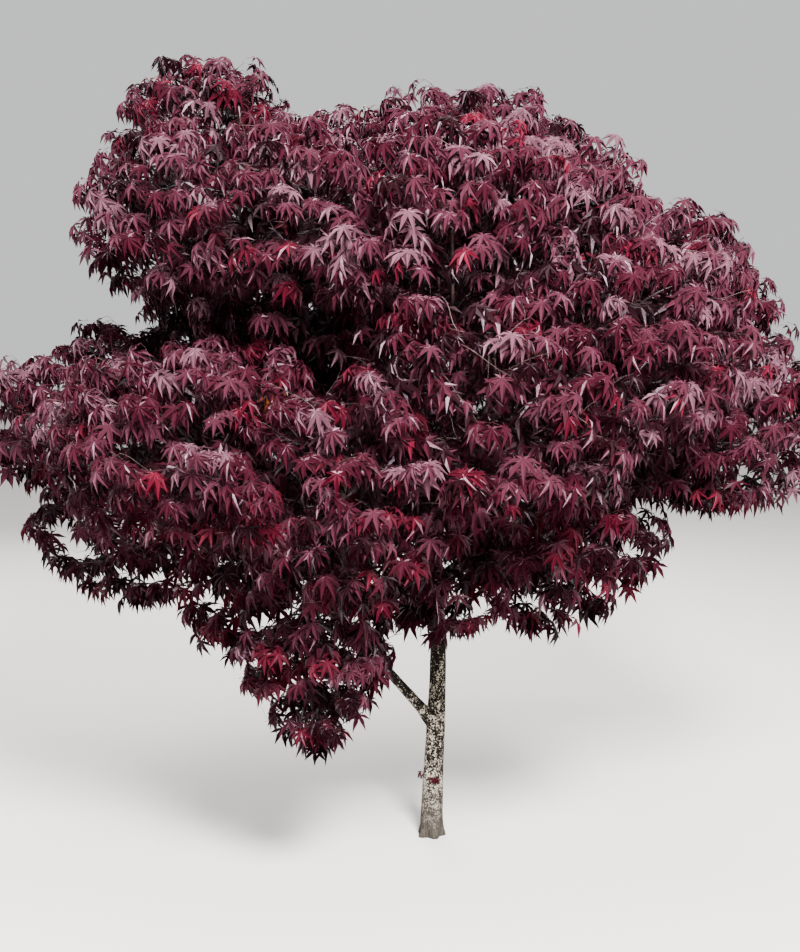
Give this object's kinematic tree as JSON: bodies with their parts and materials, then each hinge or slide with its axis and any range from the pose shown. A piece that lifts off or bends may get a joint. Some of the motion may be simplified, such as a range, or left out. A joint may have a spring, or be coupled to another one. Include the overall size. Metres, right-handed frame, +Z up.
{
  "type": "japanese maple tree",
  "caption": "Young purple-leaved Japanese maple rooted in the ground: short leaning trunk, spreading boughs and a broad, layered crown of lobed leaves.",
  "frame": {"origin": "middle of the flat cut under the trunk, at ground level, level with the soil it grows from", "axes": "+Z up; -Y faces the camera of the picture; +X to the right as seen from the picture's side"},
  "size_m": [2.5958, 2.3598, 2.412],
  "materials": {
    "bark": "rough pale grey-beige bark",
    "foliage": "satin purple-red leaves"
  },
  "bodies": {
    "root": {"trunk": "bark", "bough_lower_left_front": "bark", "bough_low_right": "bark", "bough_low_middle": "bark", "bough_lower_left": "bark", "bough_back_left": "bark", "bough_right_lower": "bark", "bough_back_right": "bark", "bough_middle_front": "bark", "bough_back_middle": "bark", "bough_top_left": "bark", "bough_top_right": "bark", "limb_bottom_left": "bark", "limb_bottom_middle": "bark", "limb_left_hanging": "bark", "limb_centre_left": "bark", "limb_back_low_left": "bark", "limb_back_low_right": "bark", "limb_right_outer": "bark", "limb_right_front": "bark", "limb_middle_upper": "bark", "limb_left_middle": "bark", "limb_left_shoulder": "bark", "limb_left_inner": "bark", "limb_back_left_high": "bark", "limb_top_middle": "bark", "limb_right_upper": "bark", "limb_right_middle": "bark", "limb_back_right_high": "bark", "limb_right_tip": "bark", "foliage_lower_left_front": "foliage", "foliage_low_right": "foliage", "foliage_low_middle": "foliage", "foliage_lower_left": "foliage", "foliage_back_left": "foliage", "foliage_right_lower": "foliage", "foliage_back_right": "foliage", "foliage_middle_front": "foliage", "foliage_back_middle": "foliage", "foliage_top_left": "foliage", "foliage_top_right": "foliage", "foliage_bottom_left": "foliage", "foliage_bottom_middle": "foliage", "foliage_left_hanging": "foliage", "foliage_centre_left": "foliage", "foliage_back_low_left": "foliage", "foliage_back_low_right": "foliage", "foliage_right_outer": "foliage", "foliage_right_front": "foliage", "foliage_middle_upper": "foliage", "foliage_left_middle": "foliage", "foliage_left_shoulder": "foliage", "foliage_left_inner": "foliage", "foliage_back_left_high": "foliage", "foliage_top_middle": "foliage", "foliage_right_upper": "foliage", "foliage_right_middle": "foliage", "foliage_back_right_high": "foliage", "foliage_right_tip": "foliage"}
  },
  "joints": []
}
